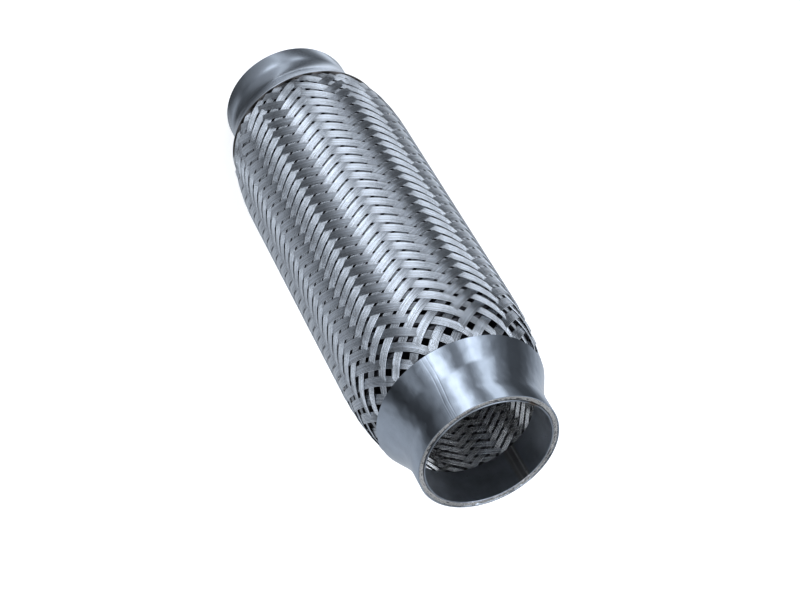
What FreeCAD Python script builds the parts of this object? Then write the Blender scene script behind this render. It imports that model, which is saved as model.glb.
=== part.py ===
import FreeCAD, Part

import math
import os
import Sketcher

# Exhaust flex pipe: a corrugated bellows between an outer and an inner wire
# braid, gripped at each end between a flared end cap and an inner sleeve.
# Millimetres, +Z along the pipe, origin at the centre of the lower rim.

DRIVING_SIZES = [
    ("overall_length", 203.2, "rim to rim"),
    ("sleeve_bore_radius", 22.75, "inside of the inner sleeve"),
    ("sleeve_wall", 0.5, "sheet of the inner sleeve"),
    ("sleeve_length", 14.6, "depth of the inner sleeve from the rim"),
    ("inner_clamped_wall", 0.45, "inner braid where it is pressed flat"),
    ("inner_woven_wall", 0.8, "inner braid where it is free"),
    ("inner_row_pitch", 3.72, "axial step of the inner strands"),
    ("inner_relief_length", 4.0, "woven face that shows past a sleeve"),
    ("bellows_wall", 0.4, "sheet of the bellows"),
    ("bellows_crest_radius", 31.3, "outside of a convolution"),
    ("bellows_pitch", 5.2, "one convolution to the next"),
    ("bellows_cuff", 31.4, "rim to the first convolution"),
    ("cap_wall", 1.15, "sheet of the end cap"),
    ("cap_length", 24.2, "rim to the mouth of the cap"),
    ("cap_neck_length", 7.0, "straight neck of the cap"),
    ("cap_flare_radius", 25.0, "bend from the neck into the cone"),
    ("cap_flare_angle", 25.5, "cone of the cap, degrees from the axis"),
    ("rim_round", 0.4, "round on the outer corner of the rim"),
    ("rim_step", 0.3, "bellows and inner braid end behind the rim"),
    ("layer_fit", 0.05, "radial room between layers"),
    ("braid_radius", 34.4, "outside of the outer braid"),
    ("braid_wall", 1.1, "outer braid, both layers of strands"),
    ("braid_relief", 0.55, "depth of the grooves between outer strands"),
    ("braid_shoulder", 28.0, "length over which the braid swells"),
    ("braid_fullness", 1.8, "exponent of the shoulder's curve"),
    ("row_pitch", 5.05, "axial step of the outer strands in mid braid"),
    ("row_spread", 6.4, "extra length that the rows gain towards a cap"),
    ("spread_rows", 1.55, "rows over which most of that is gained"),
    ("open_gap_distance", 3.5, "mouth of a cap to its open gaps"),
]

# The weave: each strand passes over two and under two of the other hand.
STRANDS_EACH_WAY = 24
COLUMNS = 2 * STRANDS_EACH_WAY
COLUMN_STEP = 360.0 / COLUMNS
GROOVE_SHARE = 0.14
GAP_SHARE = 0.14
OUTER_AZIMUTH = -90.0
INNER_AZIMUTH = -85.3


class Size:
    """A size: its number, and the expression that works it out in the document."""

    def __init__(self, value, text):
        self.value = value
        self.text = text

    def __add__(self, other):
        return Size(self.value + other.value, "(%s + %s)" % (self.text, other.text))

    def __sub__(self, other):
        return Size(self.value - other.value, "(%s - %s)" % (self.text, other.text))

    def __mul__(self, other):
        return Size(self.value * other.value, "(%s * %s)" % (self.text, other.text))

    def __truediv__(self, other):
        return Size(self.value / other.value, "(%s / %s)" % (self.text, other.text))


def number(value):
    return Size(float(value), repr(float(value)))


def sine(angle):
    return Size(math.sin(math.radians(angle.value)), "sin(%s)" % angle.text)


def cosine(angle):
    return Size(math.cos(math.radians(angle.value)), "cos(%s)" % angle.text)


doc = FreeCAD.newDocument("flex_pipe")
sheet = doc.addObject("Spreadsheet::Sheet", "sizes")
for line, (alias, amount, meaning) in enumerate(DRIVING_SIZES, start=1):
    sheet.set("A%d" % line, alias)
    sheet.set("B%d" % line, str(amount))
    sheet.setAlias("B%d" % line, alias)
    sheet.set("C%d" % line, meaning)
doc.recompute()


SIZES = {}
for alias, amount, meaning in DRIVING_SIZES:
    SIZES[alias] = Size(float(sheet.get(alias)), "sizes." + alias)


def size(alias):
    return SIZES[alias]


# Layers from the bore outwards, each one seated on the one inside it.
zero = number(0)
overall = size("overall_length")
room = size("layer_fit")
rim_step = size("rim_step")
sleeve_inside = size("sleeve_bore_radius")
sleeve_outside = sleeve_inside + size("sleeve_wall")
clamped_inside = sleeve_outside + room
inner_braid_outside = clamped_inside + size("inner_clamped_wall")
root_inside = inner_braid_outside + room
root_outside = root_inside + size("bellows_wall")
cap_inside = root_outside + room
cap_outside = cap_inside + size("cap_wall")

# The cap's flare: an arc out of the neck, then a cone up to the mouth.
cap_length = size("cap_length")
cap_wall = size("cap_wall")
neck_length = size("cap_neck_length")
flare = size("cap_flare_radius")
flare_sine = sine(size("cap_flare_angle"))
flare_cosine = cosine(size("cap_flare_angle"))
cone_slope = flare_sine / flare_cosine
cone_radius = cap_outside + flare - flare * flare_cosine
cone_height = neck_length + flare * flare_sine
mouth_outside = cone_radius + (cap_length - cone_height) * cone_slope
mouth_inside = mouth_outside - cap_wall / flare_cosine


# Turned pieces: a closed sketch of half the section, revolved about the axis.

def new_body(label):
    body = doc.addObject("PartDesign::Body", label)
    body.Label = label
    return body


def new_sketch(body, name):
    sketch = body.newObject("Sketcher::SketchObject", name)
    planes = [item for item in body.Origin.OriginFeatures if item.Role == "XZ_Plane"]
    sketch.AttachmentSupport = (planes[0], [""])
    sketch.MapMode = "FlatFace"
    return sketch


def revolved(body, sketch, name):
    feature = body.newObject("PartDesign::Revolution", name)
    feature.Profile = sketch
    feature.ReferenceAxis = (sketch, ["V_Axis"])
    feature.Angle = 360
    sketch.Visibility = False
    return feature


def bind(sketch, kind, name, elements, amount):
    constraint = sketch.addConstraint(Sketcher.Constraint(kind, *elements, amount.value))
    sketch.renameConstraint(constraint, name)
    sketch.setExpression("Constraints." + name, amount.text)


def arc_middle(start, end, radius, turn):
    """The middle of an arc; turn is 1 where it goes anticlockwise, else -1."""
    chord = end - start
    half = chord.Length / 2
    left = FreeCAD.Vector(-chord.y, chord.x, 0).normalize()
    rise = radius - math.sqrt(max(radius * radius - half * half, 0))
    return (start + end) / 2 - left * (turn * rise)


def draw_outline(sketch, outline):
    """A closed outline of (radius, height) corners, with every corner bound.

    An arc starts at a corner that also gives the arc's radius and turn.
    """
    corners = [FreeCAD.Vector(corner[0].value, corner[1].value, 0) for corner in outline]
    starts = []
    ends = []
    for index, corner in enumerate(outline):
        start = corners[index]
        end = corners[(index + 1) % len(corners)]
        if len(corner) > 2:
            middle = arc_middle(start, end, corner[2].value, corner[3])
            edge = sketch.addGeometry(Part.Arc(start, middle, end), False)
        else:
            edge = sketch.addGeometry(Part.LineSegment(start, end), False)
        first_gap = (sketch.getPoint(edge, 1) - start).Length
        second_gap = (sketch.getPoint(edge, 2) - start).Length
        starts.append((edge, 1 if first_gap < second_gap else 2))
        ends.append((edge, 2 if first_gap < second_gap else 1))
    for index, corner in enumerate(outline):
        following = starts[(index + 1) % len(outline)]
        sketch.addConstraint(Sketcher.Constraint("Coincident", *ends[index], *following))
    for index, corner in enumerate(outline):
        bind(sketch, "DistanceX", "radius_%d" % index, (-1, 1, *starts[index]), corner[0])
        bind(sketch, "DistanceY", "height_%d" % index, (-1, 1, *starts[index]), corner[1])
        if len(corner) > 2:
            bind(sketch, "Radius", "bend_%d" % index, (starts[index][0],), corner[2])


def turned_piece(label, outline):
    body = new_body(label)
    sketch = new_sketch(body, label + "_section")
    draw_outline(sketch, outline)
    revolved(body, sketch, label + "_turned")
    return body


def stand_on_upper_end(body):
    """Turns a piece of the lower end over, for the upper end."""
    body.Placement = FreeCAD.Placement(FreeCAD.Vector(0, 0, overall.value),
                                       FreeCAD.Rotation(FreeCAD.Vector(1, 0, 0), 180))
    body.setExpression("Placement.Base.z", overall.text)


def end_cap(label):
    rim_round = size("rim_round")
    inner_bend = flare + cap_wall
    return turned_piece(label, [
        (cap_outside - rim_round, zero, rim_round, 1),
        (cap_outside, rim_round),
        (cap_outside, neck_length, flare, -1),
        (cone_radius, cone_height),
        (mouth_outside, cap_length),
        (mouth_inside, cap_length),
        (cone_radius - cap_wall * flare_cosine, cone_height + cap_wall * flare_sine, inner_bend, 1),
        (cap_inside, neck_length),
        (cap_inside, zero),
    ])


def inner_sleeve(label):
    length = size("sleeve_length")
    return turned_piece(label, [
        (sleeve_inside, zero),
        (sleeve_outside, zero),
        (sleeve_outside, length),
        (sleeve_inside, length),
    ])


# Bellows: rounded convolutions between two straight cuffs.

def bellows(label):
    pitch = size("bellows_pitch")
    cuff = size("bellows_cuff")
    half_wall = size("bellows_wall") / number(2)
    bend = pitch / number(4)
    wide_bend = bend + half_wall
    tight_bend = bend - half_wall
    root = root_inside + half_wall + bend
    crest = size("bellows_crest_radius") - wide_bend
    count = 1 + int((overall.value - 2 * cuff.value - pitch.value) / pitch.value + 1e-6)
    spare = (overall - cuff - cuff - pitch * number(count)) / number(2)
    first = cuff + spare
    middle = first + pitch / number(2)
    last = first + pitch
    body = new_body(label)
    section = new_sketch(body, label + "_convolution")
    draw_outline(section, [
        (root_outside, first, tight_bend, 1),
        (root, middle - wide_bend),
        (crest, middle - wide_bend, wide_bend, 1),
        (crest + wide_bend, middle, wide_bend, 1),
        (crest, middle + wide_bend),
        (root, middle + wide_bend, tight_bend, 1),
        (root_outside, last),
        (root_inside, last, wide_bend, -1),
        (root, middle + tight_bend),
        (crest, middle + tight_bend, tight_bend, -1),
        (crest + tight_bend, middle, tight_bend, -1),
        (crest, middle - tight_bend),
        (root, middle - tight_bend, wide_bend, -1),
        (root_inside, first),
    ])
    wave = revolved(body, section, label + "_wave")
    doc.recompute()
    repeat = body.newObject("PartDesign::LinearPattern", label + "_waves")
    repeat.Originals = [wave]
    repeat.Direction = (section, ["V_Axis"])
    repeat.Occurrences = count
    repeat.Length = pitch.value * (count - 1)
    repeat.setExpression("Length", (pitch * number(count - 1)).text)
    body.Tip = repeat
    doc.recompute()
    cuffs = [
        ("lower_cuff", rim_step, first),
        ("upper_cuff", overall - first, overall - rim_step),
    ]
    for name, low, high in cuffs:
        cuff_section = new_sketch(body, name + "_section")
        draw_outline(cuff_section, [
            (root_inside, low),
            (root_outside, low),
            (root_outside, high),
            (root_inside, high),
        ])
        revolved(body, cuff_section, name)
        doc.recompute()
    return body


# Braids: one wall each, woven on its face. Columns count crossings round the
# pipe, rows count them along it, and strands cross where both are odd or even.

def cap_inside_at(height):
    """Inner radius of the cap at a height above its rim."""
    if height > cone_height.value + cap_wall.value * flare_sine.value:
        return mouth_inside.value - (cap_length.value - height) * cone_slope.value
    bend = flare.value + cap_wall.value
    rise = max(height - neck_length.value, 0)
    return cap_inside.value + bend - math.sqrt(bend * bend - rise * rise)


def braid_radius_at(height):
    """Outer radius of the outer braid: along the cap's cone, then swelling to full size."""
    height = min(height, overall.value - height)
    if height < cap_length.value:
        return cap_inside_at(height) - room.value
    start = mouth_inside.value - room.value
    rise = height - cap_length.value
    share = min(rise / size("braid_shoulder").value, 1)
    power = size("braid_fullness").value
    swell = (size("braid_radius").value - start) * (1 - (1 - share) ** power) ** (1 / power)
    return start + min(swell, rise * cone_slope.value)


def braid_end_height():
    """Where the cap leaves room for one braid on the bellows, with its facets clear of both."""
    needed = root_outside.value + 3 * room.value + size("braid_wall").value
    low, high = 0.0, cap_length.value
    while high - low > 1e-4:
        middle = (low + high) / 2
        if cap_inside_at(middle) < needed:
            low = middle
        else:
            high = middle
    return high


def outer_row_height(row):
    """Rows are evenly spaced in mid braid and spread apart towards the caps."""
    pitch = size("row_pitch").value
    spread = size("row_spread").value
    rows = size("spread_rows").value
    half_length = overall.value / 2 - cap_length.value
    last_turn = (half_length - spread) / pitch
    turns = abs(row) / 2
    gain = spread * (math.exp((turns - last_turn) / rows) - math.exp(-last_turn / rows))
    return overall.value / 2 + math.copysign(pitch * turns + gain, row)


def inner_row_height(row):
    return overall.value / 2 + row * size("inner_row_pitch").value / 2


def last_row(row_height, limit):
    """The highest row that stays below a height."""
    row = 0
    while row_height(row + 1) < limit:
        row += 1
    return row


class WovenWall:
    """A tube of flat facets: strands stand out on its face, its back is plain."""

    def __init__(self, azimuth, row_height, face_radius, back_radius, relief, outward):
        self.azimuth = azimuth
        self.row_height = row_height
        self.face_radius = face_radius
        self.back_radius = back_radius
        self.relief = relief if outward else -relief
        self.outward = outward
        self.points = []
        self.numbers = {}
        self.facets = []
        self.open_gaps = set()

    def point(self, column, height, radius):
        angle = math.radians(self.azimuth + column * COLUMN_STEP)
        place = (radius * math.cos(angle), radius * math.sin(angle), height)
        key = tuple(round(coordinate, 5) for coordinate in place)
        if key not in self.numbers:
            self.numbers[key] = len(self.points)
            self.points.append(FreeCAD.Vector(*place))
        return self.numbers[key]

    def crest(self, column, row):
        height = self.row_height(row)
        return self.point(column, height, self.face_radius(height))

    def valley(self, column, row):
        height = self.row_height(row)
        return self.point(column, height, self.face_radius(height) - self.relief)

    def back(self, column, row):
        height = self.row_height(row)
        return self.point(column, height, self.back_radius(height))

    def facet(self, first, second, third):
        if len({first, second, third}) == 3:
            self.facets.append((first, second, third) if self.outward else (third, second, first))

    def strip(self, lower, upper):
        """Facets between two rings of points, anticlockwise seen from outside."""
        for index in range(COLUMNS):
            after = (index + 1) % COLUMNS
            self.facet(lower[index], lower[after], upper[after])
            self.facet(lower[index], upper[after], upper[index])

    def with_gaps(self, loop):
        """The loop of lattice places, cut back where one is an open gap.

        A gap in the middle of a side also takes a place on the inside of it.
        """
        cut = []
        for index, (column, row) in enumerate(loop):
            if (column % COLUMNS, row) not in self.open_gaps:
                cut.append((column, row))
                continue
            before = loop[index - 1]
            after = loop[(index + 1) % len(loop)]
            back_step = (before[0] - column, before[1] - row)
            next_step = (after[0] - column, after[1] - row)
            cut.append((column + GAP_SHARE * back_step[0], row + GAP_SHARE * back_step[1]))
            if back_step[0] == -next_step[0] and back_step[1] == -next_step[1]:
                cut.append((column - GAP_SHARE * next_step[1], row + GAP_SHARE * next_step[0]))
            cut.append((column + GAP_SHARE * next_step[0], row + GAP_SHARE * next_step[1]))
        return cut

    def float_of_strand(self, loop, corners):
        """One visible length of strand: a raised flat inside a loop of grooves."""
        west, south, east, north = corners
        inset = 2 * GROOVE_SHARE
        tops = [(west[0] + inset, west[1]), (south[0], south[1] + inset),
                (east[0] - inset, east[1]), (north[0], north[1] - inset)]
        crests = [self.crest(*top) for top in tops]
        self.facet(crests[0], crests[1], crests[3])
        self.facet(crests[1], crests[2], crests[3])
        border = self.with_gaps(loop)
        nearest = 0
        for index, place in enumerate(border):
            after = border[(index + 1) % len(border)]
            self.facet(self.valley(*place), self.valley(*after), crests[nearest % 4])
            here = math.dist(after, tops[nearest % 4])
            there = math.dist(after, tops[(nearest + 1) % 4])
            if nearest < 4 and there < here + 1e-6:
                self.facet(self.valley(*after), crests[(nearest + 1) % 4], crests[nearest % 4])
                nearest += 1

    def weave(self, low, high):
        """Strands over rows low to high. Returns the rings of points at both edges."""
        for row in range(low - 1, high + 2):
            for column in range(COLUMNS):
                rises = column % 4 == 3
                if (column + row) % 2 or not (rises or column % 4 == 1):
                    continue
                second = (column + 1, row + 1) if rises else (column + 1, row - 1)
                cells = [cell for cell in ((column, row), second) if low <= cell[1] <= high]
                if len(cells) == 1:
                    at, level = cells[0]
                    corners = [(at - 1, level), (at, level - 1), (at + 1, level), (at, level + 1)]
                    self.float_of_strand(corners, corners)
                elif rises and cells:
                    west, south = (column - 1, row), (column, row - 1)
                    east, north = (column + 2, row + 1), (column + 1, row + 2)
                    loop = [west, south, (column + 1, row), east, north, (column, row + 1)]
                    self.float_of_strand(loop, [west, south, east, north])
                elif cells:
                    west, south = (column - 1, row), (column + 1, row - 2)
                    east, north = (column + 2, row - 1), (column, row + 1)
                    loop = [west, (column, row - 1), south, east, (column + 1, row), north]
                    self.float_of_strand(loop, [west, south, east, north])
        return self.edges(low, high, self.valley)

    def edges(self, low, high, maker):
        lower = [maker(at, low - 1 if (at - low) % 2 == 0 else low) for at in range(COLUMNS)]
        upper = [maker(at, high + 1 if (at - high) % 2 == 0 else high) for at in range(COLUMNS)]
        return lower, upper

    def pierced_back(self, low, high):
        """The plain back over rows that have open gaps, and each gap's four sides."""
        self.outward = not self.outward
        for row in range(low, high + 1):
            for column in range(COLUMNS):
                if (column + row) % 2 == 0:
                    corners = [(column - 1, row), (column, row - 1), (column + 1, row), (column, row + 1)]
                    border = [self.back(*place) for place in self.with_gaps(corners)]
                    for index in range(1, len(border) - 1):
                        self.facet(border[0], border[index], border[index + 1])
        self.outward = not self.outward
        for column, row in sorted(self.open_gaps):
            if low <= row <= high:
                steps = [(1, 1), (-1, 1), (-1, -1), (1, -1)]
                rim = [(column + GAP_SHARE * across, row + GAP_SHARE * along) for across, along in steps]
                for index, place in enumerate(rim):
                    after = rim[(index + 1) % 4]
                    self.facet(self.valley(*place), self.back(*place), self.back(*after))
                    self.facet(self.valley(*place), self.back(*after), self.valley(*after))
        return self.edges(low, high, self.back)

    def ring(self, height, radius):
        return [self.point(column, height, radius) for column in range(COLUMNS)]

    def close_back(self, rings):
        self.outward = not self.outward
        for lower, upper in rings:
            self.strip(lower, upper)
        self.outward = not self.outward

    def solid(self):
        shape = Part.Shape()
        shape.makeShapeFromMesh((self.points, self.facets), 0.001)
        return Part.makeSolid(shape.Shells[0])


def add_feature(label, shape):
    feature = doc.addObject("Part::Feature", label)
    feature.Label = label
    feature.Shape = shape
    return feature


def outer_braid(label):
    wall_thickness = size("braid_wall").value
    wall = WovenWall(OUTER_AZIMUTH, outer_row_height, braid_radius_at,
                     lambda height: braid_radius_at(height) - wall_thickness,
                     size("braid_relief").value, True)
    low_end = braid_end_height()
    high_end = overall.value - low_end
    top_row = last_row(outer_row_height, high_end - wall_thickness) - 1
    gap_row = last_row(outer_row_height, overall.value - cap_length.value - size("open_gap_distance").value)
    for column in range(COLUMNS):
        if (column + gap_row) % 2:
            wall.open_gaps.update({(column, gap_row), (column, -gap_row)})
    high_seat = (high_end + outer_row_height(top_row + 1)) / 2
    low_seat = overall.value - high_seat
    face_low = wall.ring(low_end, braid_radius_at(low_end))
    face_high = wall.ring(high_end, braid_radius_at(high_end))
    seat_low = wall.ring(low_seat, braid_radius_at(low_seat))
    seat_high = wall.ring(high_seat, braid_radius_at(high_seat))
    lower, upper = wall.weave(-top_row, top_row)
    wall.strip(face_low, seat_low)
    wall.strip(seat_low, lower)
    wall.strip(upper, seat_high)
    wall.strip(seat_high, face_high)
    back_low = wall.ring(low_end, wall.back_radius(low_end))
    back_high = wall.ring(high_end, wall.back_radius(high_end))
    lower_gaps = wall.pierced_back(-gap_row - 1, 1 - gap_row)
    upper_gaps = wall.pierced_back(gap_row - 1, gap_row + 1)
    shoulder = cap_length.value + size("braid_shoulder").value
    low_shoulder = wall.ring(shoulder, wall.back_radius(shoulder))
    high_shoulder = wall.ring(overall.value - shoulder, wall.back_radius(shoulder))
    wall.close_back([
        (back_low, lower_gaps[0]),
        (lower_gaps[1], low_shoulder),
        (low_shoulder, high_shoulder),
        (high_shoulder, upper_gaps[0]),
        (upper_gaps[1], back_high),
    ])
    wall.strip(back_low, face_low)
    wall.strip(face_high, back_high)
    return add_feature(label, wall.solid())


def inner_braid(label):
    outside = inner_braid_outside.value
    pressed = clamped_inside.value
    free_inside = outside - size("inner_woven_wall").value
    wall = WovenWall(INNER_AZIMUTH, inner_row_height, lambda height: free_inside,
                     lambda height: outside, pressed - free_inside, False)
    sleeve_end = overall.value - size("sleeve_length").value
    top_row = last_row(inner_row_height, sleeve_end - 2 * room.value) - 1
    low_row = last_row(inner_row_height, sleeve_end - size("inner_relief_length").value)
    ends = (rim_step.value, overall.value - rim_step.value)
    faces = [wall.ring(height, pressed) for height in ends]
    backs = [wall.ring(height, outside) for height in ends]
    low_edges = wall.weave(-top_row, -low_row)
    high_edges = wall.weave(low_row, top_row)
    wall.strip(faces[0], low_edges[0])
    wall.strip(low_edges[1], high_edges[0])
    wall.strip(high_edges[1], faces[1])
    wall.close_back([(backs[0], backs[1])])
    wall.strip(backs[0], faces[0])
    wall.strip(faces[1], backs[1])
    return add_feature(label, wall.solid())


pieces = [
    end_cap("lower_end_cap"),
    end_cap("upper_end_cap"),
    inner_sleeve("lower_inner_sleeve"),
    inner_sleeve("upper_inner_sleeve"),
    bellows("bellows"),
    outer_braid("outer_braid"),
    inner_braid("inner_braid"),
]
for piece in pieces:
    if piece.Label.startswith("upper"):
        stand_on_upper_end(piece)
doc.recompute()

for item in doc.Objects:
    if "Invalid" in item.State or "Error" in item.State:
        raise RuntimeError("%s did not build" % item.Label)
for piece in pieces:
    if piece.Shape.isNull() or not piece.Shape.isValid() or len(piece.Shape.Solids) != 1:
        raise RuntimeError("%s is not one valid solid" % piece.Label)

os.makedirs("parts", exist_ok=True)
for piece in pieces:
    piece.Shape.exportStep("parts/%s.step" % piece.Label)
    box = piece.Shape.optimalBoundingBox(False)
    print("%-20s %8.1f mm3  z %.2f to %.2f  widest %.2f, %d faces" % (
        piece.Label, piece.Shape.Volume, box.ZMin, box.ZMax, box.XLength, len(piece.Shape.Faces)))
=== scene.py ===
import math

import bpy
import numpy as np
from mathutils import Matrix, Vector


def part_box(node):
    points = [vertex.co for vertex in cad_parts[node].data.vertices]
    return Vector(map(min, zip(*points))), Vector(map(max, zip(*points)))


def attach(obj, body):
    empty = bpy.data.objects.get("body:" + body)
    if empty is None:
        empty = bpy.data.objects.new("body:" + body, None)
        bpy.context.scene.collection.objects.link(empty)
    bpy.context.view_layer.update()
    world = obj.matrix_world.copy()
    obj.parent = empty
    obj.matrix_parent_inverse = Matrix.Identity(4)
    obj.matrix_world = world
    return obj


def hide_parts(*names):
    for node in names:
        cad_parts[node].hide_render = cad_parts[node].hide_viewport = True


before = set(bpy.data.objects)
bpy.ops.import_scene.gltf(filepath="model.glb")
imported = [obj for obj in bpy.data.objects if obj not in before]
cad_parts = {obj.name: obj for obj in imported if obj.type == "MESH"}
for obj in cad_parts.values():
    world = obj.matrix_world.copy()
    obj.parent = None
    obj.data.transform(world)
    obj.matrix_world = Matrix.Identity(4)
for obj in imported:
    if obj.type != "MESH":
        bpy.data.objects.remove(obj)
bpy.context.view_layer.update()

MM = 0.001
RANDOM = np.random.default_rng(11)

# Sizes in millimetres, from the frame.
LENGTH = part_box("upper_end_cap")[1].z / MM
CAP_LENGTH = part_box("lower_end_cap")[1].z / MM
SLEEVE_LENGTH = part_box("lower_inner_sleeve")[1].z / MM
SLEEVE_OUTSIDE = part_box("lower_inner_sleeve")[1].x / MM
MOUTH_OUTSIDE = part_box("lower_end_cap")[1].x / MM
CAD_BRAID_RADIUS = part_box("outer_braid")[1].x / MM

# Sizes in millimetres that the frame doesn't give.
SLEEVE_WALL = 0.5
SLEEVE_ROUND = 0.12
CAP_WALL = 1.15
NECK_RADIUS = 25.4
NECK_LENGTH = 7.0
FLARE_RADIUS = 25.0
FLARE_ANGLE = math.radians(25.5)
RIM_ROUND = 0.35
MOUTH_ROUND = 0.18
LAYER_ROOM = 0.05
SHOULDER_LENGTH = 28.0
SHOULDER_FULLNESS = 1.8
BRAID_RADIUS = CAD_BRAID_RADIUS - 0.08

# The cap's profile, from the rim up.
CAP_INSIDE = NECK_RADIUS - CAP_WALL
CONE_RADIUS = NECK_RADIUS + FLARE_RADIUS * (1 - math.cos(FLARE_ANGLE))
CONE_HEIGHT = NECK_LENGTH + FLARE_RADIUS * math.sin(FLARE_ANGLE)
MOUTH_INSIDE = MOUTH_OUTSIDE - CAP_WALL / math.cos(FLARE_ANGLE)

# The cap's rim, inside first, as change from the neck's radius and height. The layers
# inside it are ground off unevenly, down to the rim's depth.
RIM_DEPTH = 0.5
RIM_PROFILE = [(-0.45, RIM_DEPTH), (-0.34, 0.04), (-0.2, 0.0), (-0.06, 0.07), (0.0, 0.22)]
TRIM_LEAST_DEPTH = 0.01
TRIM_ROWS = 7
TRIM_SLEEVE_ROOM = 0.1
TRIM_CAP_ROOM = 0.36

# The weld along each cap: azimuths, turn round the pipe per millimetre from the rim, and
# two fine grooves, each so far to a side of its middle.
NEAR_SEAM = math.radians(-79.3)
FAR_SEAM = math.radians(60)
SEAM_SLANT = math.radians(0.24)
SEAM_REACH = 3
SEAM_MARGIN = 2.0
GROOVE_DEPTH = 0.035
GROOVE_WIDTH = 0.2
GROOVE_OFFSET = 0.75

# Points round the pipe on each turned piece, across a seam, and along an arc.
CAP_COLUMNS = 256
TRIM_COLUMNS = 300
SLEEVE_COLUMNS = 192
SEAM_COLUMNS = 65
ARC_STEPS = 14
SHARP_ANGLE = math.radians(38)

# The weave: columns round the pipe and rows along it count the crossings. A rising strand
# lies highest at the top column, and at every fourth column from it.
STRANDS = 24
COLUMN_STEP = math.radians(7.5)
TOP_COLUMN = 3.5
OUTER_AZIMUTH = math.radians(-90)
INNER_AZIMUTH = math.radians(-85.3)
ROW_PITCH = 5.05
ROW_SPREAD = 6.4
SPREAD_ROWS = 1.55
INNER_ROW_PITCH = 3.72
INNER_ROW_OFFSET = 17.6

# How far the wires run on inside the caps and over the sleeves.
OUTER_TUCK = 3.5
INNER_TUCK = 2

# The inner braid's face: its room inside the sleeve's outside, and its rise at the sleeve.
INNER_ROOM = 0.3
INNER_SEAT_RISE = 0.35
INNER_SEAT_LENGTH = 1.6

# A strand's wires. They sink by the drop under another strand, have points at the stations
# of every second column, lie lower by the crown at the strand's edges, and stray sideways.
OUTER_WIRES = {"wires": 8, "wire_pitch": 0.438, "wire_radius": 0.215, "drop": 0.5,
               "stations": [2.75, 3.25, 3.75, 4.25], "crown": 0.08, "wander": 0.008}
INNER_WIRES = {"wires": 5, "wire_pitch": 0.41, "wire_radius": 0.19, "drop": 0.6,
               "stations": [3, 4], "crown": 0.0, "wander": 0.02}

# How unevenly a wire runs: sway in its strays, over a span of points, and depth.
WIRE_SWAY = 1.6
SWAY_SPAN = 5
WIRE_UNEVEN = 0.003

# Painted shade on the wires: how much darker a wire is painted where it lies under another strand,
# in steps of its random brightness, and the share of its level over which the painted shade deepens.
RECESS_SHADE = 2.2
RECESS_FADE = 0.4

# A wire's section in wire radii, sideways and outwards: five corners, flattened.
WIRE_FLATNESS = 0.6
WIRE_SECTION = np.array([(math.cos(turn), WIRE_FLATNESS * math.sin(turn))
                         for turn in np.radians([90, 162, 234, 306, 18])])


def mesh_object(name, points, faces, material):
    """Makes a smooth mesh from points in millimetres and lists of faces."""
    mesh = bpy.data.meshes.new(name)
    mesh.from_pydata((np.asarray(points) * MM).tolist(), [], faces)
    mesh.validate()
    mesh.shade_smooth()
    piece = bpy.data.objects.new(name, mesh)
    bpy.context.scene.collection.objects.link(piece)
    mesh.materials.append(material)
    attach(piece, "root")
    return piece


# Shaders

# Noise on the steel in cells per metre, and how far it lifts the surface in metres.
STAIN_SCALE = 90.0
RIPPLE_SCALE = 170.0
RIPPLE_LIFT = 0.0002
GRAIN_LIFT = 0.00004

# Grain drawn out along the pipe.
ALONG_PIPE = (1, 1, 0.35)


def node(tree, kind, **values):
    """Adds a node, and sets its properties and inputs by name."""
    made = tree.nodes.new(kind)
    for name, value in values.items():
        if hasattr(made, name):
            setattr(made, name, value)
        else:
            made.inputs[name.replace("_", " ")].default_value = value
    return made


def azimuth_ramp(tree, parts, stops):
    """Colour by azimuth round Z, from (degrees, red, green, blue) stops."""
    azimuth = node(tree, "ShaderNodeMath", operation="ARCTAN2")
    tree.links.new(parts.outputs["Y"], azimuth.inputs[0])
    tree.links.new(parts.outputs["X"], azimuth.inputs[1])
    turn = node(tree, "ShaderNodeMapRange", From_Min=-math.pi, From_Max=math.pi)
    tree.links.new(azimuth.outputs["Value"], turn.inputs["Value"])
    made = node(tree, "ShaderNodeValToRGB")
    ramp = made.color_ramp
    while len(ramp.elements) > 1:
        ramp.elements.remove(ramp.elements[-1])
    turned = sorted(((degrees + 180) % 360, *color) for degrees, *color in stops)
    for number, (degrees, *color) in enumerate(turned):
        share = degrees / 360
        stop = ramp.elements[0] if number == 0 else ramp.elements.new(share)
        stop.position = share
        stop.color = (*color, 1)
    tree.links.new(turn.outputs["Result"], made.inputs["Fac"])
    return made.outputs["Color"]


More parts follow.
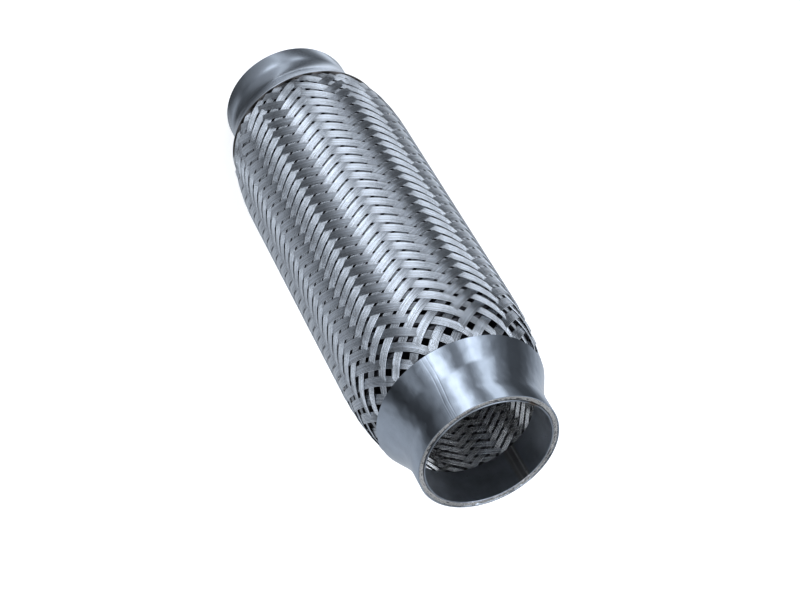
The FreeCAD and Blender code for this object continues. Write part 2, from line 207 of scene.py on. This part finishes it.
def metal(name, color, roughness, grain_scale, grain_depth, stretch=(1, 1, 1), tone_and_shade=0.0, stains=0.1,
          ripple=0.0, bands=None):
    """Bare steel: stained by slow noise, scratched by fine noise, tinted in bands round the pipe."""
    material = bpy.data.materials.new(name)
    material.use_nodes = True
    tree = material.node_tree
    shader = tree.nodes["Principled BSDF"]
    shader.inputs["Metallic"].default_value = 1.0
    place = node(tree, "ShaderNodeTexCoord")
    slow = node(tree, "ShaderNodeTexNoise", Scale=STAIN_SCALE, Detail=3.0, Roughness=0.6)
    tree.links.new(place.outputs["Object"], slow.inputs["Vector"])
    shade = node(tree, "ShaderNodeMapRange", From_Min=0.3, From_Max=0.7)
    shade.inputs["To Min"].default_value = 1 - stains
    shade.inputs["To Max"].default_value = 1 + stains / 2
    tree.links.new(slow.outputs["Fac"], shade.inputs["Value"])
    tint = node(tree, "ShaderNodeVectorMath", operation="SCALE")
    tint.inputs[0].default_value = color
    # The tone attribute holds each wire's random brightness, less painted shade where it lies under another
    # strand.
    if tone_and_shade:
        wire = node(tree, "ShaderNodeAttribute", attribute_name="tone_and_shade")
        spread = node(tree, "ShaderNodeMath", operation="MULTIPLY_ADD")
        spread.inputs[1].default_value = tone_and_shade
        spread.inputs[2].default_value = 1.0 - tone_and_shade / 2
        tree.links.new(wire.outputs["Fac"], spread.inputs[0])
        both = node(tree, "ShaderNodeMath", operation="MULTIPLY")
        tree.links.new(spread.outputs["Value"], both.inputs[0])
        tree.links.new(shade.outputs["Result"], both.inputs[1])
        tree.links.new(both.outputs["Value"], tint.inputs["Scale"])
    else:
        tree.links.new(shade.outputs["Result"], tint.inputs["Scale"])
    if bands:
        parts = node(tree, "ShaderNodeSeparateXYZ")
        tree.links.new(place.outputs["Object"], parts.inputs["Vector"])
        heat = node(tree, "ShaderNodeVectorMath", operation="MULTIPLY")
        tree.links.new(tint.outputs["Vector"], heat.inputs[0])
        tree.links.new(azimuth_ramp(tree, parts, bands), heat.inputs[1])
        tree.links.new(heat.outputs["Vector"], shader.inputs["Base Color"])
    else:
        tree.links.new(tint.outputs["Vector"], shader.inputs["Base Color"])
    mapping = node(tree, "ShaderNodeMapping")
    mapping.inputs["Scale"].default_value = stretch
    tree.links.new(place.outputs["Object"], mapping.inputs["Vector"])
    fine = node(tree, "ShaderNodeTexNoise", Scale=grain_scale, Detail=4.0, Roughness=0.65)
    tree.links.new(mapping.outputs["Vector"], fine.inputs["Vector"])
    rough = node(tree, "ShaderNodeMapRange", From_Min=0.25, From_Max=0.75)
    rough.inputs["To Min"].default_value = roughness * 0.8
    rough.inputs["To Max"].default_value = roughness * 1.25
    tree.links.new(fine.outputs["Fac"], rough.inputs["Value"])
    tree.links.new(rough.outputs["Result"], shader.inputs["Roughness"])
    bump = node(tree, "ShaderNodeBump", Strength=grain_depth, Distance=GRAIN_LIFT)
    tree.links.new(fine.outputs["Fac"], bump.inputs["Height"])
    tree.links.new(bump.outputs["Normal"], shader.inputs["Normal"])
    if ripple:
        wide = node(tree, "ShaderNodeTexNoise", Scale=RIPPLE_SCALE, Detail=1.0)
        tree.links.new(place.outputs["Object"], wide.inputs["Vector"])
        swell = node(tree, "ShaderNodeBump", Strength=ripple, Distance=RIPPLE_LIFT)
        tree.links.new(wide.outputs["Fac"], swell.inputs["Height"])
        tree.links.new(swell.outputs["Normal"], bump.inputs["Normal"])
    return material


# The sleeve's weld and a heat band away from it, as (degrees, red, green, blue): faint brown,
# with two lighter lines along the weld.
WELD_BANDS = [
    (99, 1, 1, 1), (101.5, 0.95, 0.88, 0.8), (102.8, 0.95, 0.88, 0.8), (103.2, 2.1, 1.9, 1.7),
    (103.8, 2.1, 1.9, 1.7), (104.2, 0.9, 0.82, 0.75), (109.3, 0.9, 0.82, 0.75), (109.7, 2.1, 1.9, 1.7),
    (110.3, 2.1, 1.9, 1.7), (110.7, 0.95, 0.88, 0.8), (113, 1, 1, 1), (200, 1, 1, 1), (207, 0.75, 0.55, 0.4),
    (211, 0.75, 0.55, 0.4), (216, 1, 1, 1),
]


# Turned pieces

def arc(middle, radius, start, end, steps):
    """Points of an arc in (radius, height), from one angle to another in degrees."""
    angles = np.radians(np.linspace(start, end, steps))
    return [(middle[0] + radius * math.cos(a), middle[1] + radius * math.sin(a)) for a in angles]


def even_azimuths(count, seams=()):
    """Azimuths round the pipe, closer together at each seam."""
    azimuths = list(np.linspace(-math.pi, math.pi, count, endpoint=False))
    for seam, half_width in seams:
        azimuths = [a for a in azimuths if abs(a - seam) > half_width]
        azimuths += list(np.linspace(seam - half_width, seam + half_width, SEAM_COLUMNS))
    return np.array(sorted(azimuths))


def lathe(name, profile, azimuths, upper, material, dent=None, edge=(), edge_material=None):
    """Turns a closed profile of (radius, height) round the pipe.

    Dent gives a change of radius, and edge the rows of faces that have the edge's material.
    """
    around = len(azimuths)
    points = []
    for radius, height in profile:
        for azimuth in azimuths:
            change = dent(azimuth, radius, height) if dent else 0.0
            reach = radius + change
            z = LENGTH - height if upper else height
            points.append((reach * math.cos(azimuth), reach * math.sin(azimuth), z))
    faces = []
    for row in range(len(profile)):
        next_row = (row + 1) % len(profile)
        for column in range(around):
            after = (column + 1) % around
            face = [row * around + column, row * around + after,
                    next_row * around + after, next_row * around + column]
            faces.append(face[::-1] if upper else face)
    piece = mesh_object(name, points, faces, material)
    piece.data.set_sharp_from_angle(angle=SHARP_ANGLE)
    if edge_material:
        piece.data.materials.append(edge_material)
        dull = np.zeros((len(profile), around), dtype=np.int32)
        dull[list(edge)] = 1
        piece.data.polygons.foreach_set("material_index", dull.ravel())
    return piece


def cap_inside_at(height):
    """Inner radius of the cap at a height above its rim."""
    if height > CONE_HEIGHT + CAP_WALL * math.sin(FLARE_ANGLE):
        return MOUTH_INSIDE - (CAP_LENGTH - height) * math.tan(FLARE_ANGLE)
    bend = FLARE_RADIUS + CAP_WALL
    rise = max(height - NECK_LENGTH, 0)
    return CAP_INSIDE + bend - math.sqrt(bend * bend - rise * rise)


def on_cap_face(radius, height):
    """Whether a point of the cap's profile lies on the face that shows, and not inside."""
    if radius < NECK_RADIUS - RIM_ROUND - 0.01:
        return False
    inside = radius < cap_inside_at(height) + CAP_WALL / 2
    return not (height > NECK_LENGTH and radius < CONE_RADIUS - CAP_WALL / 2 and inside)


def end_cap(name, cad_node, upper, seam, material):
    """A collar with a neck, a flare and a cone, welded along a seam, and dull at its mouth."""
    middle = (NECK_RADIUS + FLARE_RADIUS, NECK_LENGTH)
    bend = math.degrees(FLARE_ANGLE)
    profile = [(NECK_RADIUS + change, height) for change, height in RIM_PROFILE]
    profile += arc(middle, FLARE_RADIUS, 180, 180 - bend, ARC_STEPS)
    mouth = len(profile)
    profile += [(MOUTH_OUTSIDE - MOUTH_ROUND * math.sin(FLARE_ANGLE),
                 CAP_LENGTH - MOUTH_ROUND * math.cos(FLARE_ANGLE)),
                (MOUTH_OUTSIDE - MOUTH_ROUND * 0.75, CAP_LENGTH - MOUTH_ROUND * 0.25),
                (MOUTH_OUTSIDE - MOUTH_ROUND * 1.6, CAP_LENGTH),
                (MOUTH_INSIDE + MOUTH_ROUND, CAP_LENGTH),
                (MOUTH_INSIDE, CAP_LENGTH - MOUTH_ROUND)]
    profile += arc(middle, FLARE_RADIUS + CAP_WALL, 180 - bend, 180, ARC_STEPS)
    profile += [(CAP_INSIDE, RIM_DEPTH)]

    def weld(azimuth, radius, height):
        """Two fine grooves along the seam, uneven in depth, that fade out at the mouth."""
        across = (azimuth - seam + SEAM_SLANT * height) * radius
        if abs(across) >= SEAM_REACH or not on_cap_face(radius, height):
            return 0.0
        fade = min(1.0, (CAP_LENGTH - height) / 6, height / 3 + 0.4)
        grooves = sum(math.exp(-((across - side) / GROOVE_WIDTH) ** 2)
                      for side in (-GROOVE_OFFSET, GROOVE_OFFSET))
        bead = 0.6 + 0.4 * math.sin(height * 5.1) * math.sin(height * 2.3 + 1)
        return -GROOVE_DEPTH * fade * bead * grooves

    drift = SEAM_SLANT * CAP_LENGTH
    azimuths = even_azimuths(CAP_COLUMNS, [(seam - drift / 2, drift / 2 + SEAM_MARGIN / NECK_RADIUS)])
    piece = lathe(name, profile, azimuths, upper, material, weld,
                  range(mouth + 1, mouth + 5), EDGE_STEEL)
    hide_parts(cad_node)


def trimmed_rim(name, cad_node, upper):
    """The ground edge where the layers are cut off: rough, and bright in places."""
    radii = np.linspace(SLEEVE_OUTSIDE + TRIM_SLEEVE_ROOM, NECK_RADIUS - TRIM_CAP_ROOM, TRIM_ROWS)
    azimuths = even_azimuths(TRIM_COLUMNS)
    depth = RANDOM.uniform(TRIM_LEAST_DEPTH, RIM_DEPTH, (len(radii), len(azimuths)))
    depth = (depth + np.roll(depth, 1, axis=1)) / 2
    depth[0] = depth[-1] = RIM_DEPTH
    points = []
    for radius, row in zip(radii, depth):
        for azimuth, deep in zip(azimuths, row):
            z = LENGTH - deep if upper else deep
            points.append((radius * math.cos(azimuth), radius * math.sin(azimuth), z))
    faces = []
    around = len(azimuths)
    for row in range(len(radii) - 1):
        for column in range(around):
            after = (column + 1) % around
            face = [row * around + column, (row + 1) * around + column, (row + 1) * around + after,
                    row * around + after]
            faces.append(face if upper else face[::-1])
    piece = mesh_object(name, points, faces, RIM_STEEL)
    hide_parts(cad_node)


def sleeve(name, cad_node, upper):
    """The thin ring inside a cap, rounded at its rim."""
    inside = SLEEVE_OUTSIDE - SLEEVE_WALL
    profile = [(inside + SLEEVE_ROUND, 0), (SLEEVE_OUTSIDE - SLEEVE_ROUND, 0),
               (SLEEVE_OUTSIDE, SLEEVE_ROUND), (SLEEVE_OUTSIDE, SLEEVE_LENGTH),
               (inside, SLEEVE_LENGTH), (inside, SLEEVE_ROUND)]
    piece = lathe(name, profile, even_azimuths(SLEEVE_COLUMNS), upper, SLEEVE_STEEL)
    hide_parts(cad_node)


# Wire braids

def outer_row_height(rows):
    """Height of a row, counted from mid braid: evenly spaced, wider towards the caps."""
    turns = np.abs(rows) / 2
    last = (LENGTH / 2 - CAP_LENGTH - ROW_SPREAD) / ROW_PITCH
    gain = ROW_SPREAD * (np.exp((turns - last) / SPREAD_ROWS) - math.exp(-last / SPREAD_ROWS))
    return LENGTH / 2 + np.sign(rows) * (ROW_PITCH * turns + gain)


def inner_row_height(rows):
    """Height of a row, counted from the one at the row offset below the upper rim."""
    return LENGTH - INNER_ROW_OFFSET + rows * INNER_ROW_PITCH / 2


def outer_face(height):
    """Radius of the outer braid's face at a height."""
    height = min(height, LENGTH - height)
    if height < CAP_LENGTH:
        return cap_inside_at(height) - 2 * LAYER_ROOM
    start = MOUTH_INSIDE - 2 * LAYER_ROOM
    share = min((height - CAP_LENGTH) / SHOULDER_LENGTH, 1)
    rise = (1 - (1 - share) ** SHOULDER_FULLNESS) ** (1 / SHOULDER_FULLNESS)
    return start + (BRAID_RADIUS - start) * rise


def inner_face(height):
    """Radius of the inner braid's face at a height: wider where it meets a sleeve."""
    depth = min(height, LENGTH - height) - SLEEVE_LENGTH
    seat = min(max(1 - depth / INNER_SEAT_LENGTH, 0), 1)
    return SLEEVE_OUTSIDE - INNER_ROOM + INNER_SEAT_RISE * seat


def strand_path(index, rising, rows_low, rows_high, stations):
    """Columns and rows of a strand's points, and its level there: 1 on top, 0 underneath."""
    shift = 2 * index
    low, high = rows_low + shift, rows_high + shift
    if not rising:
        low, high = shift - rows_high, shift - rows_low
    starts = np.arange(math.floor(low / 2) * 2 - 6, high + 6, 2)
    columns = np.sort((starts[:, None] + np.array(stations)[None, :]).ravel())
    columns = columns[(columns > low) & (columns < high)]
    columns = np.concatenate([[low], columns, [high]])
    rows = columns - shift if rising else shift - columns
    if not rising:
        columns, rows = columns[::-1], rows[::-1]
    level = 0.5 + 0.5 * np.cos((columns - TOP_COLUMN) * math.pi / 2)
    return columns, rows, level if rising else 1 - level


def wire_rings(centre, angles, wire_radius):
    """The wire's section, set across its path at each of its points."""
    outward = np.stack([np.cos(angles), np.sin(angles), np.zeros(len(angles))], axis=1)
    tangent = np.gradient(centre, axis=0)
    tangent /= np.linalg.norm(tangent, axis=1)[:, None]
    side = np.cross(tangent, outward)
    side /= np.linalg.norm(side, axis=1)[:, None]
    up = np.cross(side, tangent)
    return centre[:, None, :] + wire_radius * (
        WIRE_SECTION[None, :, :1] * side[:, None, :] + WIRE_SECTION[None, :, 1:] * up[:, None, :])


def tube_faces(count, base):
    """Faces of a tube with so many rings and closed ends, its points numbered from base."""
    sides = len(WIRE_SECTION)
    first = np.arange(count - 1)[:, None] * sides
    here = np.arange(sides)[None, :]
    after = (here + 1) % sides
    quads = np.stack([first + here, first + after, first + sides + after, first + sides + here], axis=2)
    start = np.arange(sides)[::-1] + base
    end = np.arange(sides) + (count - 1) * sides + base
    return (quads.reshape(-1, 4) + base).tolist() + [start.tolist(), end.tolist()]


def wire_family(name, strands, rising, rows_low, rows_high, azimuth, row_height, face, facing,
                material, slot, wires, wire_pitch, wire_radius, drop, stations, crown, wander):
    """The wires of the given strands that wind one way, as one mesh of tubes.

    Facing is 1 for a braid that is seen from outside and -1 for one seen from inside.
    """
    points = []
    faces = []
    tones_and_shades = []
    base = 0
    for index in strands:
        columns, rows, level = strand_path(index, rising, rows_low, rows_high, stations)
        heights = row_height(rows)
        angles = azimuth + columns * COLUMN_STEP
        radius = np.array([face(z) for z in heights])
        ahead = np.gradient(heights)
        around = np.gradient(angles) * radius
        length = np.hypot(ahead, around)
        # Share of painted shade: 0 where the strand lies at half height or above, 1 where it lies well under
        # another strand.
        shaded = np.clip((0.5 - level) / RECESS_FADE, 0, 1)
        for wire in range(wires):
            offset = (wire - (wires - 1) / 2) * wire_pitch + RANDOM.normal(0, wander)
            sway = np.convolve(RANDOM.normal(0, wander * WIRE_SWAY, len(rows) + SWAY_SPAN - 1),
                               np.ones(SWAY_SPAN) / SWAY_SPAN, "valid")
            across = offset + sway
            edge = abs(offset) / (wires * wire_pitch / 2)
            sink = drop * (1 - level) + crown * edge ** 2
            uneven = np.abs(RANDOM.normal(0, WIRE_UNEVEN, len(rows)))
            reach = radius - facing * (wire_radius + sink + uneven)
            turned = angles - across * ahead / length / radius
            z = heights + across * around / length
            centre = np.stack([reach * np.cos(turned), reach * np.sin(turned), z], axis=1)
            block = wire_rings(centre, turned, wire_radius).reshape(-1, 3)
            points.append(block)
            # Each wire's brightness: random, less painted shade where the strand lies under another.
            tones_and_shades.append(np.repeat(RANDOM.random() - RECESS_SHADE * shaded, len(WIRE_SECTION)))
            faces += tube_faces(len(rows), base)
            base += len(block)
    piece = mesh_object(name, np.concatenate(points), faces, material)
    tone_and_shade = piece.data.attributes.new("tone_and_shade", "FLOAT", "POINT")
    tone_and_shade.data.foreach_set("value", np.concatenate(tones_and_shades).astype(np.float32))
    return piece


def outer_braid():
    """The outer braid's wires, in two pieces for each way they wind."""
    rows_high = 0.5
    while outer_row_height(rows_high) < LENGTH - CAP_LENGTH + OUTER_TUCK:
        rows_high += 0.5
    for name, rising in (("outer_strands_rising", True), ("outer_strands_falling", False)):
        for half in (0, 1):
            strands = range(half, STRANDS, 2)
            piece = wire_family("%s_%d" % (name, half + 1), strands, rising, -rows_high, rows_high,
                                OUTER_AZIMUTH, outer_row_height, outer_face, 1,
                                BRAID_WIRE, "braid_wire", **OUTER_WIRES)
            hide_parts("outer_braid")


def inner_braid():
    """The inner braid's wires, in one piece for each way they wind."""
    low = (SLEEVE_LENGTH - INNER_TUCK - LENGTH + INNER_ROW_OFFSET) / (INNER_ROW_PITCH / 2)
    high = (INNER_ROW_OFFSET - SLEEVE_LENGTH + INNER_TUCK) / (INNER_ROW_PITCH / 2)
    for name, rising in (("inner_strands_rising", True), ("inner_strands_falling", False)):
        piece = wire_family(name, range(STRANDS), rising, round(low), round(high),
                            INNER_AZIMUTH, inner_row_height, inner_face, -1,
                            INNER_WIRE, "inner_wire", **INNER_WIRES)
        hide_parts("inner_braid")


# Stage, lamps and camera

# The world's colours are shares of the brightest light that it can hold, and its strength
# makes up for that, so that white comes to 1. The light's tint is red, green and blue.
BRIGHTEST = 4.0
LIGHT_TINT = (0.9, 0.97, 1.07)

# Soft boxes and flags round the part that only metal sees, as azimuth and brightness where
# each begins, peaks and ends: far below the part, below its level, at its level, high above
# it and overhead. They were estimated from the reflections in the photograph, and rounded.
LIGHTS_UNDER = [
    (-180, 0.1), (-160, 0.12), (-142, 0.22), (-128, 0.5), (-115, 0.6), (-102, 0.4), (-88, 0.3),
    (-70, 0.25), (-50, 0.2), (-35, 0.16), (-18, 0.1), (0, 0.08), (25, 0.06), (45, 0.05), (55, 0.14), (68, 0.34),
    (85, 0.42), (105, 0.5), (120, 0.8), (131, 0.95), (141, 0.7), (155, 0.3), (168, 0.15),
]
LIGHTS_LOW = [
    (-180, 0.08), (-170, 0.16), (-159, 0.32), (-152, 0.8), (-145, 1.05), (-137, 1.0), (-130, 0.5), (-122, 0.24),
    (-113, 0.42), (-105, 1.1), (-98, 1.6), (-90, 1.4), (-82, 0.8), (-74, 0.5), (-63, 0.28), (-51, 0.14),
    (-39, 0.06), (-27, 0.05), (-15, 0.15), (-3, 0.38), (20, 0.46), (65, 0.45), (100, 0.6), (120, 0.58),
    (132, 0.48), (142, 0.3), (153, 0.13), (165, 0.08),
]
LIGHTS_LEVEL = [
    (-180, 0.02), (-165, 0.15), (-155, 0.35), (-147, 0.65), (-140, 1.3), (-133, 1.5), (-125, 0.8), (-117, 0.33),
    (-109, 0.24), (-101, 0.7), (-94, 1.5), (-86, 1.8), (-78, 1.0), (-70, 0.4), (-62, 0.2), (-52, 0.34),
    (-42, 0.1), (-27, 0.03), (-15, 0.1), (-3, 0.36), (15, 0.5), (45, 0.48), (70, 0.5), (115, 0.6),
    (135, 0.5), (148, 0.28), (157, 0.05), (170, 0.02),
]
LIGHTS_HIGH = [
    (-180, 0.06), (-171, 0.6), (-162, 2.2), (-152, 3.7), (-144, 2.0), (-135, 0.7), (-127, 1.2), (-119, 2.3),
    (-110, 1.2), (-102, 0.0), (-88, 0.0), (-80, 0.45), (-71, 1.7), (-62, 2.4), (-54, 1.4), (-46, 0.5),
    (-36, 0.2), (-28, 0.35), (-18, 0.2), (0, 0.1), (30, 0.22), (90, 0.46), (135, 0.5), (150, 0.5), (165, 0.1),
]
LIGHTS_OVERHEAD = [
    (-180, 0.6), (-170, 1.05), (-158, 1.7), (-145, 2.1), (-128, 1.8), (-110, 1.2), (-92, 0.65), (-78, 0.9),
    (-60, 1.4), (-40, 0.78), (-15, 0.3), (0, 0.18), (60, 0.3), (120, 0.44), (160, 0.42),
]

# The rings of light above the lowest, and where each takes over from the one below it, as
# the height of the direction that metal looks in, from -1 to 1.
LIGHT_RINGS = [(LIGHTS_LOW, -0.84, -0.72), (LIGHTS_LEVEL, -0.03, 0.1), (LIGHTS_HIGH, 0.2, 0.5),
               (LIGHTS_OVERHEAD, 0.68, 0.84)]

LAMP_SIZE = 0.9
LAMP_AIM = (0, 0, 0.1)

# The floor: how far it reaches, and the glow that makes it white where no shadow falls.
FLOOR_REACH = 4.0
FLOOR_COLOR = (0.8, 0.8, 0.8, 1)
FLOOR_GLOW = 0.6

CAMERA_LENS = 90.25
CAMERA_PLACE = (0.00053, -0.52634, 0.60898)
CAMERA_FORWARD = (0, 0.73516, -0.67790)
CAMERA_ROLL = math.radians(150.196)


def lights_round(tree, parts, stops):
    """The studio's light by azimuth, as a share of the brightest, from (degrees, brightness) stops."""
    colors = [(degrees, *(light * tint / BRIGHTEST for tint in LIGHT_TINT)) for degrees, light in stops]
    return azimuth_ramp(tree, parts, colors)


def blend(tree, parts, low_z, high_z, low, high):
    """Goes over from the low colour to the high one between two heights."""
    share = node(tree, "ShaderNodeMapRange", From_Min=low_z, From_Max=high_z)
    tree.links.new(parts.outputs["Z"], share.inputs["Value"])
    mix = node(tree, "ShaderNodeMix", data_type="RGBA")
    tree.links.new(share.outputs["Result"], mix.inputs["Factor"])
    tree.links.new(low, mix.inputs["A"])
    tree.links.new(high, mix.inputs["B"])
    return mix.outputs["Result"]


def studio_world():
    """A studio that is white to the camera, and lights metal with soft boxes and flags."""
    world = bpy.data.worlds.new("studio")
    bpy.context.scene.world = world
    world.use_nodes = True
    tree = world.node_tree
    back = tree.nodes["Background"]
    place = node(tree, "ShaderNodeTexCoord")
    parts = node(tree, "ShaderNodeSeparateXYZ")
    tree.links.new(place.outputs["Generated"], parts.inputs["Vector"])
    light = lights_round(tree, parts, LIGHTS_UNDER)
    for stops, low_z, high_z in LIGHT_RINGS:
        light = blend(tree, parts, low_z, high_z, light, lights_round(tree, parts, stops))
    seen = node(tree, "ShaderNodeLightPath")
    white = node(tree, "ShaderNodeMix", data_type="RGBA")
    white.inputs["B"].default_value = (1 / BRIGHTEST, 1 / BRIGHTEST, 1 / BRIGHTEST, 1)
    back.inputs["Strength"].default_value = BRIGHTEST
    tree.links.new(seen.outputs["Is Camera Ray"], white.inputs["Factor"])
    tree.links.new(light, white.inputs["A"])
    tree.links.new(white.outputs["Result"], back.inputs["Color"])


def floor():
    """A pale floor, white to the camera but for the part's shadow, that metal doesn't reflect."""
    mesh = bpy.data.meshes.new("floor")
    corners = [(x * FLOOR_REACH, y * FLOOR_REACH, 0) for x, y in ((-1, -1), (1, -1), (1, 1), (-1, 1))]
    mesh.from_pydata(corners, [], [(0, 1, 2, 3)])
    piece = bpy.data.objects.new("floor", mesh)
    bpy.context.scene.collection.objects.link(piece)
    material = bpy.data.materials.new("floor_paint")
    material.use_nodes = True
    shader = material.node_tree.nodes["Principled BSDF"]
    shader.inputs["Base Color"].default_value = FLOOR_COLOR
    shader.inputs["Roughness"].default_value = 0.9
    shader.inputs["Specular IOR Level"].default_value = 0.0
    shader.inputs["Emission Color"].default_value = (1, 1, 1, 1)
    shader.inputs["Emission Strength"].default_value = FLOOR_GLOW
    mesh.materials.append(material)
    piece.visible_glossy = False


def lamp(name, place, power):
    """A square soft lamp above the part, that metal doesn't reflect."""
    light = bpy.data.lights.new(name, "AREA")
    light.shape = "RECTANGLE"
    light.size = LAMP_SIZE
    light.size_y = LAMP_SIZE
    light.energy = power
    holder = bpy.data.objects.new(name, light)
    holder.location = place
    aim = Vector(LAMP_AIM) - Vector(place)
    holder.rotation_euler = aim.to_track_quat("-Z", "Y").to_euler()
    holder.visible_glossy = False
    bpy.context.scene.collection.objects.link(holder)


def camera():
    """The photograph's view: looking down on the front, with the upper rim at the lower right."""
    data = bpy.data.cameras.new("camera")
    data.sensor_width = 36
    data.lens = CAMERA_LENS
    data.clip_start = 0.01
    holder = bpy.data.objects.new("camera", data)
    facing = Vector(CAMERA_FORWARD).to_track_quat("-Z", "Y")
    level = Matrix.LocRotScale(Vector(CAMERA_PLACE), facing, None)
    holder.matrix_world = level @ Matrix.Rotation(CAMERA_ROLL, 4, "Z")
    bpy.context.scene.collection.objects.link(holder)
    bpy.context.scene.camera = holder


camera()
CAP_STEEL = metal("polished_cap", (0.60, 0.66, 0.74), roughness=0.08, grain_scale=1300, grain_depth=0.2,
                  stretch=ALONG_PIPE, stains=0.14, ripple=1.0)
FAR_CAP_STEEL = metal("satin_cap", (0.76, 0.82, 0.90), roughness=0.17, grain_scale=1300, grain_depth=0.05,
                      stretch=ALONG_PIPE, stains=0.1, ripple=0.2)
EDGE_STEEL = metal("mouth_edge", (0.30, 0.27, 0.25), roughness=0.45, grain_scale=1100, grain_depth=0.3,
                   stains=0.3)
RIM_STEEL = metal("rough_rim", (0.80, 0.77, 0.73), roughness=0.25, grain_scale=1100, grain_depth=0.8,
                  stains=0.3)
SLEEVE_STEEL = metal("dull_sleeve", (0.44, 0.475, 0.53), roughness=0.32, grain_scale=900, grain_depth=0.0,
                     stains=0.25, bands=WELD_BANDS)
BRAID_WIRE = metal("bright_wire", (0.80, 0.83, 0.87), roughness=0.06, grain_scale=500, grain_depth=0.0,
                   tone_and_shade=0.22, stains=0.02)
INNER_WIRE = metal("inner_bright_wire", (0.95, 0.94, 0.92), roughness=0.1, grain_scale=500,
                   grain_depth=0.0, tone_and_shade=0.35, stains=0.05)
# The steel bellows under the braid is painted near black: painted shade, so that the gaps between the strands
# look dark.
BELLOWS_PAINTED_SHADE = metal("bellows_painted_shade", (0.10, 0.10, 0.11), roughness=0.4, grain_scale=500, grain_depth=0.2)

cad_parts["bellows"].data.materials.clear()
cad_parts["bellows"].data.materials.append(BELLOWS_PAINTED_SHADE)

end_cap("near_cap", "upper_end_cap", True, NEAR_SEAM, CAP_STEEL)
end_cap("far_cap", "lower_end_cap", False, FAR_SEAM, FAR_CAP_STEEL)
trimmed_rim("near_rim", "upper_end_cap", True)
trimmed_rim("far_rim", "lower_end_cap", False)
sleeve("near_sleeve", "upper_inner_sleeve", True)
sleeve("far_sleeve", "lower_inner_sleeve", False)
outer_braid()
inner_braid()

studio_world()
floor()
lamp("key", (-0.5, -0.9, 1.4), 7)
lamp("fill", (0.9, 0.3, 1.2), 4)

bpy.context.scene.view_settings.view_transform = "Standard"
bpy.context.view_layer.update()
